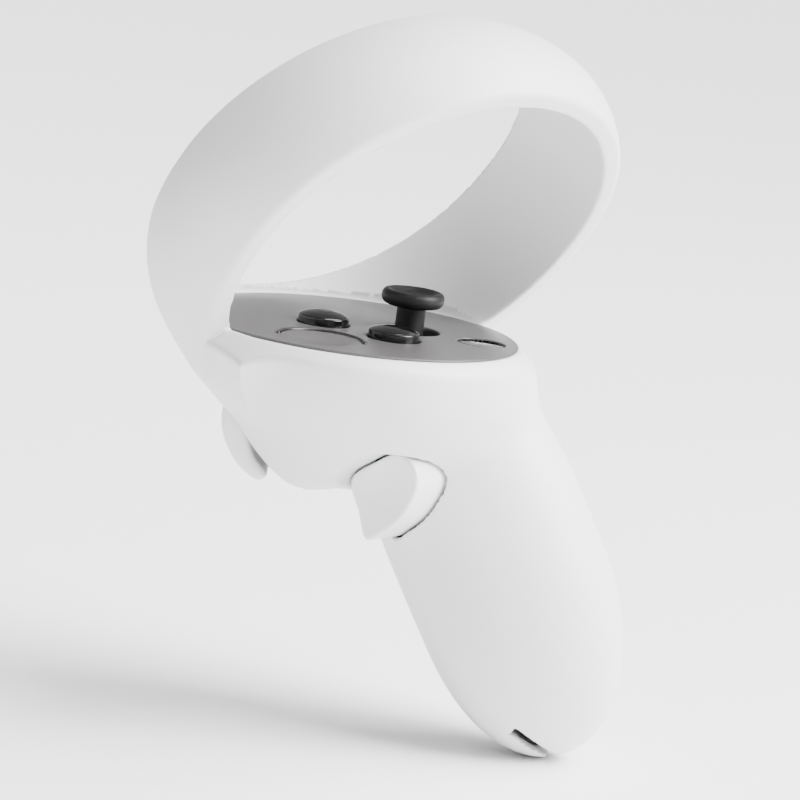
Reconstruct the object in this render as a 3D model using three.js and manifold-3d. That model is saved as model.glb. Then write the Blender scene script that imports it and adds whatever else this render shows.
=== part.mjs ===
// A right-hand VR motion controller: tracking ring, round button plate, hollow head and
// handle, index trigger, grip button, thumbstick, battery bay and the parts inside.
// Millimetres. +Z is the button plate's normal, +Y points away from the user, +X right.
// The origin is the centre of the button plate's top face.
import * as THREE from 'three';
import { mergeVertices } from 'three/addons/utils/BufferGeometryUtils.js';
import Module from 'manifold-3d';

const wasm = await Module();
wasm.setup();

// ---- driving dimensions -------------------------------------------------------------
const GAP = 0.3;              // clearance between pieces that touch
const PLATE_R = 31.3;         // radius of the button plate's seat
const PLATE_T = 1.8;          // plate thickness
const WALL = 2.2;             // wall of the head and handle
const GRID = 4.3;             // facet size of the free-form skins

const RING_AXIS = new THREE.Vector3(0.590, 0.515, 0.622).normalize();
const RING_S0 = -1.0;         // rear rim plane, along the ring axis
const RING_S1 = 26.2;         // front rim plane
const RING_CA = 24.05;        // ring centre height at the rear rim
const RING_CB = 18.2;         // ring centre height at the front rim
const RING_RA = 37.35;        // inner radius at the rear rim
const RING_RB = 36.75;        // inner radius at the front rim
const RING_U0 = 0.25;         // sideways offset of the ring centre
const RING_WALL_A = 3.45;     // ring thickness at the rear rim
const RING_WALL_B = 2.2;      // ring thickness at the front rim
const RING_BULGE_OUT = 4.6;   // how far the outside swells between the rims
const RING_BULGE_IN = 1.2;    // how far the inside swells between the rims
const RING_SQUARE = 2.25;     // the lower half of the ring is slightly squared

const LED_ANGLES = [0.05, 0.45, 0.95, 1.57, 2.19, 2.69, 3.09];  // round the ring, from the right

const HANDLE_TOP = new THREE.Vector3(0, -24.6, -26.5);
const HANDLE_DIR = new THREE.Vector3(0, -0.496, -0.868).normalize();
const HANDLE_HALF_T = 19.5;   // half thickness, front to back
const HANDLE_HALF_W = 15.8;   // half width, left to right
const HANDLE_END = 37.2;      // length of the rounded end

const DEPTHS = [-2, 2.4, 6, 10.8, 14.2, 19.1, 25, 29.4, 31.3, 32.6, 33.2];
const HEAD_FRONT = [34.8, 33.7, 32.4, 30, 27, 22.1, 17.6, 13.8, 11.4, 8.3, 5.4];
const HEAD_REAR = [-33.7, -33.7, -33.4, -32.4, -30.4, -26.8, -19, -11, -6.5, -1, 3];
const HEAD_HALF_W = [34.5, 33.7, 32.6, 30.3, 28, 23.8, 18, 12.5, 9, 5, 2];
const HEAD_FLOOR = 32.9;      // depth of the chin below the plate
const FLOOR_RISE = 0.32;      // slope of the head's underside back up to the handle

const BUTTON_R = 4.8;
const BUTTON_EDGE = 1.3;      // side wall of a button above the plate
const BUTTON_DOME = 0.8;
const HOME_R = 4.3;
const BUTTON_B = [-2.0, 6.0];
const BUTTON_A = [-9.3, -7.4];
const HOME = [-1.5, -23.9];
const HOME_BARS = [-1.7, -0.6, 0.5];                              // along X from the centre
const LUNE = { outer: 4.1, inner: 9.5, offset: 7.9, depth: 0.55 };  // home button's finger recess
const STICK = [2.8, -10.2];
const STICK_PIVOT = -7.0;     // height of the stick's tilt centre
const REST = [-19.6, 5.8];    // centre of the thumb rest
const REST_R = 8.0;

const CELL_R = 7.25;          // AA cell
const CELL_L = 49.2;
const CELL_TAU = -3.0;        // where the cell starts along the handle
const CELL_N = -3.4;          // cell offset toward the palm
const CELL_X = 1.5;

const TRIGGER_PIVOT = [18.2, -10.6];
const TRIGGER_HALF_W = 8.0;

const GRIP_NORMAL = new THREE.Vector3(-0.8, 0.6, 0).normalize();
const GRIP_CORNER = new THREE.Vector3(-13, -3, -0.4);
const GRIP_DEPTH = 11;

// ---- materials ----------------------------------------------------------------------
function paint(color, roughness, metalness = 0) {
  return new THREE.MeshStandardMaterial({ color, roughness, metalness });
}

// ---- solids -------------------------------------------------------------------------
function solidOf(geometry) {
  const plain = geometry.index ? geometry.toNonIndexed() : geometry.clone();
  plain.deleteAttribute('normal');
  plain.deleteAttribute('uv');
  const merged = mergeVertices(plain, 1e-4);
  const vertProperties = new Float32Array(merged.attributes.position.array);
  const index = merged.index.array;
  const keep = [];
  for (let i = 0; i < index.length; i += 3) {
    const [a, b, c] = [index[i], index[i + 1], index[i + 2]];
    if (a !== b && b !== c && a !== c) keep.push(a, b, c);
  }
  if (signedVolume(vertProperties, keep) < 0) keep.reverse();
  const mesh = new wasm.Mesh({ numProp: 3, vertProperties, triVerts: new Uint32Array(keep) });
  return new wasm.Manifold(mesh);
}

function signedVolume(p, index) {
  let total = 0;
  for (let i = 0; i < index.length; i += 3) {
    const [a, b, c] = [index[i] * 3, index[i + 1] * 3, index[i + 2] * 3];
    total += p[a] * (p[b + 1] * p[c + 2] - p[b + 2] * p[c + 1]);
    total += p[a + 1] * (p[b + 2] * p[c] - p[b] * p[c + 2]);
    total += p[a + 2] * (p[b] * p[c + 1] - p[b + 1] * p[c]);
  }
  return total;
}

function geometryOf(solid) {
  const mesh = solid.getMesh();
  const geometry = new THREE.BufferGeometry();
  geometry.setAttribute('position', new THREE.BufferAttribute(new Float32Array(mesh.vertProperties), 3));
  geometry.setIndex(new THREE.BufferAttribute(new Uint32Array(mesh.triVerts), 1));
  const merged = mergeVertices(geometry, 1e-4);
  merged.computeVertexNormals();
  return merged;
}

function cut(solid, ...others) {
  return others.reduce((result, other) => result.subtract(other), solid);
}

function join(solid, ...others) {
  return others.reduce((result, other) => result.add(other), solid);
}

function box(x0, x1, y0, y1, z0, z1) {
  const geometry = new THREE.BoxGeometry(x1 - x0, y1 - y0, z1 - z0);
  geometry.translate((x0 + x1) / 2, (y0 + y1) / 2, (z0 + z1) / 2);
  return geometry;
}

function lathe(points, segments = 32) {
  const profile = points.map(([r, z]) => new THREE.Vector2(r, z));
  const geometry = new THREE.LatheGeometry(profile, segments);
  geometry.rotateX(Math.PI / 2);
  return geometry;
}

function rod(radius, z0, z1, segments = 24) {
  return lathe([[0, z0], [radius, z0], [radius, z1], [0, z1]], segments);
}

function pipe(inner, outer, z0, z1, segments = 32) {
  return lathe([[inner, z0], [outer, z0], [outer, z1], [inner, z1], [inner, z0]], segments);
}

function roundedBox(width, height, radius, z0, z1, corner = 4) {
  const shape = new THREE.Shape();
  const [w, h] = [width / 2 - radius, height / 2 - radius];
  shape.absarc(w, h, radius, 0, Math.PI / 2);
  shape.absarc(-w, h, radius, Math.PI / 2, Math.PI);
  shape.absarc(-w, -h, radius, Math.PI, Math.PI * 1.5);
  shape.absarc(w, -h, radius, Math.PI * 1.5, Math.PI * 2);
  shape.closePath();
  const options = { depth: z1 - z0, bevelEnabled: false, curveSegments: corner };
  const geometry = new THREE.ExtrudeGeometry(shape, options);
  geometry.translate(0, 0, z0);
  return geometry;
}

function extrudeX(points, x0, x1) {
  const shape = new THREE.Shape(points.map(([y, z]) => new THREE.Vector2(y, z)));
  const geometry = new THREE.ExtrudeGeometry(shape, { depth: x1 - x0, bevelEnabled: false });
  const basis = new THREE.Matrix4().makeBasis(
    new THREE.Vector3(0, 1, 0), new THREE.Vector3(0, 0, 1), new THREE.Vector3(1, 0, 0));
  geometry.applyMatrix4(basis);
  geometry.translate(x0, 0, 0);
  return geometry;
}

function smoothShape(points, samples = 36) {
  const knots = points.map(([x, y]) => new THREE.Vector3(x, y, 0));
  const curve = new THREE.CatmullRomCurve3(knots, true, 'centripetal');
  return curve.getPoints(samples).slice(0, samples).map((p) => [p.x, p.y]);
}

function coil(radius, wire, length, turns, segments = 9) {
  const points = [];
  const steps = Math.round(turns * segments);
  for (let i = 0; i <= steps; i += 1) {
    const angle = (i / segments) * Math.PI * 2;
    const [x, y] = [radius * Math.cos(angle), radius * Math.sin(angle)];
    points.push(new THREE.Vector3(x, y, (length * i) / steps));
  }
  const path = new THREE.CatmullRomCurve3(points);
  const section = new THREE.Shape();
  section.absarc(0, 0, wire, 0, Math.PI * 2);
  const options = { steps, extrudePath: path, curveSegments: 2, bevelEnabled: false };
  return new THREE.ExtrudeGeometry(section, options);
}

// Handle frame: local z runs down the handle, local y toward the palm, local x to the right.
function inHandle(geometry) {
  const y = new THREE.Vector3(0, HANDLE_DIR.z, -HANDLE_DIR.y);
  const basis = new THREE.Matrix4().makeBasis(new THREE.Vector3(1, 0, 0), y, HANDLE_DIR);
  basis.setPosition(HANDLE_TOP);
  geometry.applyMatrix4(basis);
  return geometry;
}

// Grip frame: local x runs toward the front edge, local y up, local z out of the pressed face.
function inGrip(geometry) {
  const x = new THREE.Vector3(GRIP_NORMAL.y, -GRIP_NORMAL.x, 0);
  const basis = new THREE.Matrix4().makeBasis(x, new THREE.Vector3(0, 0, 1), GRIP_NORMAL);
  basis.setPosition(GRIP_CORNER);
  geometry.applyMatrix4(basis);
  return geometry;
}

// ---- free-form fields (negative inside) ----------------------------------------------
function slopes(xs, ys) {
  const d = xs.slice(1).map((x, i) => (ys[i + 1] - ys[i]) / (x - xs[i]));
  return xs.map((x, i) => {
    if (i === 0) return d[0];
    if (i === xs.length - 1) return d[i - 1];
    return d[i - 1] * d[i] <= 0 ? 0 : (2 * d[i - 1] * d[i]) / (d[i - 1] + d[i]);
  });
}

function smoothTable(xs, ys) {
  const m = slopes(xs, ys);
  return (x) => {
    const q = Math.min(Math.max(x, xs[0]), xs[xs.length - 1]);
    let i = 0;
    while (i < xs.length - 2 && q > xs[i + 1]) i += 1;
    const h = xs[i + 1] - xs[i];
    const t = (q - xs[i]) / h;
    const a = ys[i] * (1 + 2 * t) * (1 - t) ** 2 + ys[i + 1] * t * t * (3 - 2 * t);
    return a + h * (m[i] * t * (1 - t) ** 2 + m[i + 1] * t * t * (t - 1));
  };
}

const headFront = smoothTable(DEPTHS, HEAD_FRONT);
const headRear = smoothTable(DEPTHS, HEAD_REAR);
const headHalf = smoothTable(DEPTHS, HEAD_HALF_W);

function blend(a, b, k) {
  const h = Math.min(Math.max(0.5 + (0.5 * (b - a)) / k, 0), 1);
  return b * (1 - h) + a * h - k * h * (1 - h);
}

function headField(x, y, z, inset, top) {
  const front = headFront(-z);
  const rear = headRear(-z);
  const ay = Math.max((front - rear) / 2 - inset, 0.6);
  const ax = Math.max(headHalf(-z) - inset, 0.6);
  const gx = x / ax;
  const gy = (y - (front + rear) / 2) / ay;
  const rho = Math.hypot(gx, gy) + 1e-9;
  const g = Math.hypot(gx / ax, gy / ay) / rho;
  const side = ((rho - 1) / Math.max(g, 1e-3)) * 0.9;
  const floor = FLOOR_RISE * Math.min(Math.max(9.5 - y, 0), 10) - HEAD_FLOOR + inset;
  return Math.max(-blend(-side, z - floor, 3), z - top);
}

function handleField(x, y, z, inset) {
  const dy = y - HANDLE_TOP.y;
  const dz = z - HANDLE_TOP.z;
  const tau = dy * HANDLE_DIR.y + dz * HANDLE_DIR.z;
  const n = -dy * HANDLE_DIR.z + dz * HANDLE_DIR.y;
  const length = HANDLE_END - inset;
  const q = Math.min(Math.max((tau - 20) / length, 0), 1);
  const f = Math.sqrt(Math.max(1 - q ** 2.4, 0));
  const waist = 1 - 0.07 * Math.exp(-(((tau + 8) / 9) ** 2));
  const belly = 1 + 0.04 * Math.exp(-(((tau - 22) / 16) ** 2));
  const shift = 1.8 * Math.min(Math.max((tau - 25) / 30, 0), 1);
  const an = Math.max((HANDLE_HALF_T * waist - inset) * f, 0.5);
  const ax = Math.max((HANDLE_HALF_W - inset) * f * belly, 0.5);
  const e = 2.15;
  const rho = (Math.abs(x / ax) ** e + Math.abs((n - shift) / an) ** e) ** (1 / e) + 1e-9;
  const side = Math.hypot(x, n - shift) * (1 - 1 / rho) * 0.95;
  return Math.max(side, tau - (20 + length), -(tau + 18));
}

function bodyField(x, y, z, inset, top) {
  return blend(headField(x, y, z, inset, top), handleField(x, y, z, inset), 6);
}

const RING_E1 = new THREE.Vector3(RING_AXIS.y, -RING_AXIS.x, 0).normalize();
const RING_E2 = new THREE.Vector3().crossVectors(RING_E1, RING_AXIS);

function ringCentre(t) {
  return RING_CA + (RING_CB - RING_CA) * t;
}

function ringInside(t) {
  const q = Math.min(Math.max(t, 0), 1);
  return RING_RA + (RING_RB - RING_RA) * q + 4 * q * (1 - q) * RING_BULGE_IN;
}

function ringOutside(t) {
  const q = Math.min(Math.max(t, 0), 1);
  const wall = RING_WALL_A + (RING_WALL_B - RING_WALL_A) * q;
  return RING_RA + (RING_RB - RING_RA) * q + wall + 4 * q * (1 - q) * RING_BULGE_OUT;
}

function ringField(x, y, z) {
  const s = x * RING_AXIS.x + y * RING_AXIS.y + z * RING_AXIS.z;
  const u = x * RING_E1.x + y * RING_E1.y + z * RING_E1.z - RING_U0;
  const t = Math.min(Math.max((s - RING_S0) / (RING_S1 - RING_S0), -0.3), 1.3);
  const v = x * RING_E2.x + y * RING_E2.y + z * RING_E2.z - ringCentre(t);
  const p = RING_SQUARE;
  const rho = v >= 0 ? Math.hypot(u, v) : (Math.abs(u) ** p + Math.abs(v) ** p) ** (1 / p);
  const barrel = rho - ringOutside(t);
  return Math.max(barrel, s - RING_S1 - 9, RING_S0 - 10 - s, -(z + 14));
}

function skinField(x, y, z) {
  return blend(bodyField(x, y, z, 0, 5), ringField(x, y, z), 5);
}

// Dual mesh of a field's zero surface, its points pulled onto the surface.
function fieldMesh(field, low, high, step) {
  const n = low.map((lo, i) => Math.ceil((high[i] - lo) / step) + 1);
  const at = (i, j, k) => (i * n[1] + j) * n[2] + k;
  const value = new Float64Array(n[0] * n[1] * n[2]);
  for (let i = 0; i < n[0]; i += 1) {
    for (let j = 0; j < n[1]; j += 1) {
      for (let k = 0; k < n[2]; k += 1) {
        value[at(i, j, k)] = field(low[0] + i * step, low[1] + j * step, low[2] + k * step);
      }
    }
  }
  const cellPoint = new Map();
  const points = [];
  const corners = [0, 1, 2, 3, 4, 5, 6, 7].map((c) => [c & 1, (c >> 1) & 1, c >> 2]);
  const edges = [];
  corners.forEach((p, a) => [1, 2, 4].forEach((bit) => {
    if (!(a & bit)) edges.push([a, a | bit]);
  }));
  const cell = (i, j, k) => {
    const key = at(i, j, k);
    if (cellPoint.has(key)) return cellPoint.get(key);
    const sum = [0, 0, 0];
    let count = 0;
    for (const [a, b] of edges) {
      const [p, q] = [corners[a], corners[b]];
      const fa = value[at(i + p[0], j + p[1], k + p[2])];
      const fb = value[at(i + q[0], j + q[1], k + q[2])];
      if (fa < 0 !== fb < 0) {
        const t = fa / (fa - fb);
        for (let m = 0; m < 3; m += 1) sum[m] += p[m] + (q[m] - p[m]) * t;
        count += 1;
      }
    }
    const base = [i, j, k];
    points.push(sum.map((s, m) => low[m] + step * (base[m] + s / count)));
    cellPoint.set(key, points.length - 1);
    return points.length - 1;
  };
  const triangles = [];
  const axes = [[1, 2], [2, 0], [0, 1]];
  for (let i = 1; i < n[0] - 1; i += 1) {
    for (let j = 1; j < n[1] - 1; j += 1) {
      for (let k = 1; k < n[2] - 1; k += 1) {
        const inside = value[at(i, j, k)] < 0;
        for (let axis = 0; axis < 3; axis += 1) {
          const next = [i, j, k];
          next[axis] += 1;
          if (value[at(...next)] < 0 === inside) continue;
          const [b1, b2] = axes[axis];
          const around = [[1, 1], [0, 1], [0, 0], [1, 0]].map(([d1, d2]) => {
            const c = [i, j, k];
            c[b1] -= d1;
            c[b2] -= d2;
            return cell(...c);
          });
          if (!inside) around.reverse();
          triangles.push(around[0], around[1], around[2], around[0], around[2], around[3]);
        }
      }
    }
  }
  points.forEach((p) => settle(field, p, step));
  const geometry = new THREE.BufferGeometry();
  geometry.setAttribute('position', new THREE.BufferAttribute(new Float32Array(points.flat()), 3));
  geometry.setIndex(triangles);
  return geometry;
}

function settle(field, p, step) {
  const start = [...p];
  for (let round = 0; round < 4; round += 1) {
    const f = field(...p);
    const g = [0, 1, 2].map((m) => {
      const q = [...p];
      q[m] += 0.05;
      return (field(...q) - f) / 0.05;
    });
    const length2 = Math.max(g[0] ** 2 + g[1] ** 2 + g[2] ** 2, 0.2);
    for (let m = 0; m < 3; m += 1) {
      const move = p[m] - (0.8 * f * g[m]) / length2;
      p[m] = Math.min(Math.max(move, start[m] - 0.45 * step), start[m] + 0.45 * step);
    }
  }
}

// ---- ring lofts ----------------------------------------------------------------------
function ringPoint(phi, t, radius) {
  const [c, s] = [Math.cos(phi), Math.sin(phi)];
  const p = RING_SQUARE;
  const squash = s >= 0 ? 1 : (Math.abs(c) ** p + Math.abs(s) ** p) ** (-1 / p);
  const u = radius * squash * c + RING_U0;
  const v = radius * squash * s + ringCentre(t);
  const along = RING_S0 + (RING_S1 - RING_S0) * t;
  return new THREE.Vector3()
    .addScaledVector(RING_AXIS, along)
    .addScaledVector(RING_E1, u)
    .addScaledVector(RING_E2, v);
}

// A closed band round the ring: section is a loop of [t, radius] pairs.
function ringBand(section, around = 60) {
  const points = [];
  const index = [];
  const n = section.length;
  for (let i = 0; i < around; i += 1) {
    const phi = (i / around) * Math.PI * 2;
    section.forEach(([t, radius]) => points.push(...ringPoint(phi, t, radius).toArray()));
    const next = (i + 1) % around;
    for (let j = 0; j < n; j += 1) {
      const k = (j + 1) % n;
      const [a, b, c, d] = [i * n + j, i * n + k, next * n + k, next * n + j];
      index.push(a, b, c, a, c, d);
    }
  }
  const geometry = new THREE.BufferGeometry();
  geometry.setAttribute('position', new THREE.BufferAttribute(new Float32Array(points), 3));
  geometry.setIndex(index);
  return geometry;
}

function bandSection(t0, t1, inner, outer, steps = 4) {
  const section = [];
  for (let i = 0; i <= steps; i += 1) {
    const t = t0 + ((t1 - t0) * i) / steps;
    section.push([t, inner(t)]);
  }
  for (let i = steps; i >= 0; i -= 1) {
    const t = t0 + ((t1 - t0) * i) / steps;
    section.push([t, outer(t)]);
  }
  return section;
}

function ringSolid(t0, t1, inner, outer, steps = 4, around = 60) {
  const geometry = ringBand(bandSection(t0, t1, inner, outer, steps), around);
  return solidOf(geometry);
}

// The room inside the ring, from well behind the rear rim to well past the front rim.
function ringRoom() {
  const around = 64;
  const ts = [-0.9, 0, 0.25, 0.5, 0.75, 1, 1.6];
  const points = [];
  const index = [];
  ts.forEach((t) => {
    for (let i = 0; i < around; i += 1) {
      points.push(...ringPoint((i / around) * Math.PI * 2, t, ringInside(t)).toArray());
    }
  });
  for (let j = 0; j < ts.length - 1; j += 1) {
    for (let i = 0; i < around; i += 1) {
      const k = (i + 1) % around;
      const [a, b, c, d] = [j * around + i, j * around + k, (j + 1) * around + k, (j + 1) * around + i];
      index.push(a, c, b, a, d, c);
    }
  }
  const ends = [0, ts.length - 1].map((j) => {
    const p = ringPoint(0, ts[j], 0);
    points.push(...p.toArray());
    return points.length / 3 - 1;
  });
  for (let i = 0; i < around; i += 1) {
    const k = (i + 1) % around;
    const top = (ts.length - 1) * around;
    index.push(ends[0], i, k, ends[1], top + k, top + i);
  }
  const geometry = new THREE.BufferGeometry();
  geometry.setAttribute('position', new THREE.BufferAttribute(new Float32Array(points), 3));
  geometry.setIndex(index);
  return solidOf(geometry);
}

function ringHalfSpace(from, depth) {
  const geometry = box(-90, 90, -90, 90, 0, depth);
  const up = new THREE.Vector3(0, 0, 1);
  geometry.applyQuaternion(new THREE.Quaternion().setFromUnitVectors(up, RING_AXIS));
  const start = RING_AXIS.clone().multiplyScalar(from);
  geometry.translate(start.x, start.y, start.z);
  return solidOf(geometry);
}

// ---- outer parts ---------------------------------------------------------------------
const GRIP_OUTLINE = [[0.4, -26.6], [-2.2, -32.4], [-4.9, -37.0], [-8.9, -34.6], [-12.7, -30.4],
  [-15.0, -23.8], [-13.4, -20.4], [-9.5, -19.5], [-4.1, -22.4]];
const TRIGGER_OUTLINE = [[21.2, -11.2], [22.6, -17.5], [22.4, -21.3], [20.9, -24.9], [18.2, -28.4],
  [14.2, -30.6], [12.8, -29.4], [15.8, -25.5], [17.0, -20.5], [16.0, -15], [15.3, -10.4], [18.2, -7.9]];
const TRIGGER_SLOT = [[6, -45], [6, -22], [11, -14.4], [45, -14.4], [45, -45]];
const DOOR = { tau: 25, length: 42, height: 21, corner: 5 };
const STRAP = { tau: 54, n: 5.8, tilt: 0.464, width: 1.5 };

function outline(points, samples) {
  return new THREE.Shape(smoothShape(points, samples).map(([x, y]) => new THREE.Vector2(x, y)));
}

function swell(points, amount) {
  const cx = points.reduce((sum, p) => sum + p[0], 0) / points.length;
  const cy = points.reduce((sum, p) => sum + p[1], 0) / points.length;
  return points.map(([x, y]) => {
    const d = Math.hypot(x - cx, y - cy);
    return [x + ((x - cx) / d) * amount, y + ((y - cy) / d) * amount];
  });
}

function gripBlock(amount, z0, z1, samples = 36) {
  const shape = outline(swell(GRIP_OUTLINE, amount), samples);
  const geometry = new THREE.ExtrudeGeometry(shape, { depth: z1 - z0, bevelEnabled: false });
  geometry.translate(0, 0, z0);
  return solidOf(inGrip(geometry));
}

function doorPrism(gap) {
  const geometry = roundedBox(DOOR.length - 2 * gap, DOOR.height - 2 * gap, DOOR.corner, 4, 32);
  const basis = new THREE.Matrix4().makeBasis(
    new THREE.Vector3(0, 0, 1), new THREE.Vector3(0, 1, 0), new THREE.Vector3(1, 0, 0));
  geometry.applyMatrix4(basis);
  geometry.translate(0, 0, DOOR.tau);
  return solidOf(inHandle(geometry));
}

function skinSolid() {
  return solidOf(fieldMesh(skinField, [-64, -72, -86], [62, 62, 86], GRID));
}

function cavitySolid() {
  const field = (x, y, z) => bodyField(x, y, z, WALL, 0);
  const room = solidOf(fieldMesh(field, [-42, -66, -86], [42, 42, 6], 5.2));
  const below = solidOf(box(-60, 60, -80, 60, -100, -4.5));
  return room.intersect(below).subtract(gripBlock(2.9, -2.2, 16));
}

// The slit for the wrist strap, slanted across the rounded end and open on the left side.
function strapSlot() {
  const geometry = box(-15.5, 4.5, -STRAP.width / 2, STRAP.width / 2, -8, 8);
  geometry.rotateX(STRAP.tilt);
  geometry.translate(0, -STRAP.n, STRAP.tau);
  return solidOf(inHandle(geometry));
}

function bevelCutter() {
  const cone = solidOf(lathe([[0, -95], [PLATE_R + 95, -95], [PLATE_R, 0], [0, 0]], 64));
  return ringHalfSpace(RING_S0 - 95, 95).subtract(cone);
}

// The one hollow skin of ring, head and handle, before it is parted at the plate's level.
function wholeShell(skin, cavity) {
  const above = solidOf(box(-80, 80, -80, 80, 0, 90));
  const ledRoom = ringSolid(0.09, 0.91, (t) => ringInside(t) - 1, (t) => ringOutside(t) - 1.3);
  return cut(
    skin,
    bevelCutter(),
    ringHalfSpace(RING_S1, 40),
    ringRoom().intersect(above),
    solidOf(rod(PLATE_R, -PLATE_T - GAP, 7, 64)),
    solidOf(rod(29.3, -8, 1, 40)),
    cavity,
    ledRoom.intersect(solidOf(box(-80, 80, -80, 80, 1.2, 90))),
    solidOf(extrudeX(TRIGGER_SLOT, -8.7, 8.7)),
    gripBlock(0.7, -18, 8),
    doorPrism(0),
    strapSlot(),
  );
}

function batteryDoor(skin, cavity) {
  return cut(skin, cavity).intersect(doorPrism(GAP));
}

function ringLiner() {
  const edge = 0.09 + GAP / (RING_S1 - RING_S0);
  const band = ringSolid(edge, 1 - edge, ringInside, (t) => ringInside(t) + 1.1);
  return band.intersect(solidOf(box(-80, 80, -80, 80, 1.2 + GAP, 90)));
}

function ledFlex() {
  const band = ringSolid(0.36, 0.64, (t) => ringInside(t) + 1.4, (t) => ringInside(t) + 1.7, 2, 60);
  return band.intersect(solidOf(box(-80, 80, -80, 80, 2.6, 90)));
}

function ledAt(phi) {
  const inner = ringPoint(phi, 0.5, ringInside(0.5) + 2.35);
  const outer = ringPoint(phi, 0.5, ringInside(0.5) + 3.0);
  const out = outer.clone().sub(inner).normalize();
  const side = new THREE.Vector3().crossVectors(RING_AXIS, out).normalize();
  const axis = new THREE.Vector3().crossVectors(out, side);
  const geometry = box(-1.6, 1.6, -0.9, 0.9, -0.35, 0.4);
  const basis = new THREE.Matrix4().makeBasis(axis, side, out);
  basis.setPosition(inner);
  geometry.applyMatrix4(basis);
  return solidOf(geometry);
}

function restGroove(width, z0, z1) {
  const ring = pipe(REST_R - width / 2, REST_R + width / 2, z0, z1, 48);
  ring.translate(REST[0], REST[1], 0);
  const half = box(REST[0] + 0.3, REST[0] + 20, -20, 30, -10, 10);
  return solidOf(ring).intersect(solidOf(half));
}

function facePlate() {
  const dish = lathe([[0, -0.7], [2, -0.64], [4, -0.42], [6.2, 0], [6.6, 0.4], [0, 0.4]], 40);
  dish.translate(REST[0] + 0.6, REST[1], 0);
  const hole = (centre, radius) => {
    const geometry = rod(radius, -4, 3, 32);
    geometry.translate(centre[0], centre[1], 0);
    return solidOf(geometry);
  };
  return cut(
    solidOf(rod(PLATE_R - GAP, -PLATE_T, 0, 64)),
    hole(BUTTON_A, BUTTON_R + GAP),
    hole(BUTTON_B, BUTTON_R + GAP),
    hole(HOME, HOME_R + GAP),
    hole(STICK, 5.9),
    solidOf(dish),
    restGroove(0.9, -1.1, 1),
  );
}

function buttonCap(centre) {
  const top = BUTTON_EDGE;
  const dome = BUTTON_DOME;
  const geometry = lathe([[0, -4.6], [1.2, -4.6], [1.2, -3], [5.4, -3], [5.4, -2.4], [BUTTON_R, -2.4],
    [BUTTON_R, top - 0.3], [BUTTON_R - 0.3, top], [3.2, top + dome * 0.6], [1.6, top + dome * 0.9],
    [0, top + dome]], 32);
  geometry.translate(centre[0], centre[1], 0);
  return solidOf(geometry);
}

function homeCap() {
  const geometry = lathe([[0, -4.6], [1.2, -4.6], [1.2, -3], [4.9, -3], [4.9, -2.4], [HOME_R, -2.4],
    [HOME_R, -0.35], [HOME_R - 0.3, -0.05], [0, -0.05]], 32);
  geometry.translate(HOME[0], HOME[1], 0);
  const pocket = rod(LUNE.outer, -LUNE.depth, 1, 32);
  const rest = rod(LUNE.inner, -2, 2, 48);
  rest.translate(-LUNE.offset, 0, 0);
  const lune = geometryOf(solidOf(pocket).subtract(solidOf(rest)));
  lune.translate(HOME[0], HOME[1], 0);
  return cut(solidOf(geometry), solidOf(lune), ...HOME_BARS.map(homeBar));
}

// One of the three short bars sunk in the home button.
function homeBar(x) {
  const bar = box(-0.2, 0.2, -1.0, 1.0, -0.3, 0.5);
  bar.rotateZ(-0.2);
  bar.translate(HOME[0] + x, HOME[1], 0);
  return solidOf(bar);
}

function domeSwitch(centre) {
  const geometry = lathe([[0, -6], [2.2, -6], [2, -5.7], [1, -5.45], [0, -5.4]], 20);
  geometry.translate(centre[0], centre[1], 0);
  return solidOf(geometry);
}

function stickPart(points, segments = 32) {
  const geometry = lathe(points, segments);
  geometry.translate(STICK[0], STICK[1], 0);
  return solidOf(geometry);
}

function stickShaft() {
  const ball = [-5, 10, 25, 40, 51].map((degrees) => {
    const a = (degrees * Math.PI) / 180;
    return [4.7 * Math.cos(a), STICK_PIVOT + 4.7 * Math.sin(a)];
  });
  return stickPart([[0, -9.5], [2.5, -9.5], ...ball, [2.8, -2.6], [2.7, 4.2], [0, 4.2]]);
}

function stickCap() {
  return stickPart([[0, 4.5], [2.9, 4.5], [5.2, 4.7], [5.85, 5.3], [6.05, 6.2], [5.75, 7.1], [5.1, 7.6],
    [4.5, 7.45], [3.6, 6.9], [2, 6.6], [0, 6.5]], 32);
}

function board(shape, z0, z1, holes) {
  const cutters = holes.map(([x, y, r]) => {
    const geometry = rod(r, z0 - 1, z1 + 1, 24);
    geometry.translate(x, y, 0);
    return solidOf(geometry);
  });
  return cut(solidOf(shape), ...cutters);
}

const SCREWS = [[-18, -14], [15, 13], [-19, 10]];

function buttonBoard() {
  const holes = SCREWS.map(([x, y]) => [x, y, 1.2]);
  return board(rod(25.5, -7.3, -6.3, 48), -7.3, -6.3, [...holes, [STICK[0], STICK[1], 9.6]]);
}

function mainBoard() {
  const geometry = roundedBox(30, 20, 2, -15.4, -14.4);
  geometry.translate(-1, -6, 0);
  return solidOf(geometry);
}

function screw([x, y]) {
  const piece = (radius, z0, z1, segments) => {
    const geometry = rod(radius, z0, z1, segments);
    geometry.translate(x, y, 0);
    return solidOf(geometry);
  };
  return join(piece(0.9, -11, -6, 16), piece(1.8, -6, -4.9, 20)).subtract(piece(0.8, -5.4, -4, 6));
}

function alongX(geometry, y, z) {
  geometry.rotateY(Math.PI / 2);
  geometry.translate(0, y, z);
  return geometry;
}

function trigger() {
  const blade = solidOf(extrudeX(smoothShape(TRIGGER_OUTLINE, 44), -TRIGGER_HALF_W, TRIGGER_HALF_W));
  const bore = solidOf(alongX(rod(1.3, -12, 12), ...TRIGGER_PIVOT));
  const pocket = solidOf(box(-3.4, 3.4, 5, TRIGGER_PIVOT[0] + 2.6, -13.6, -5));
  return cut(blade, bore, pocket);
}

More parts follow.
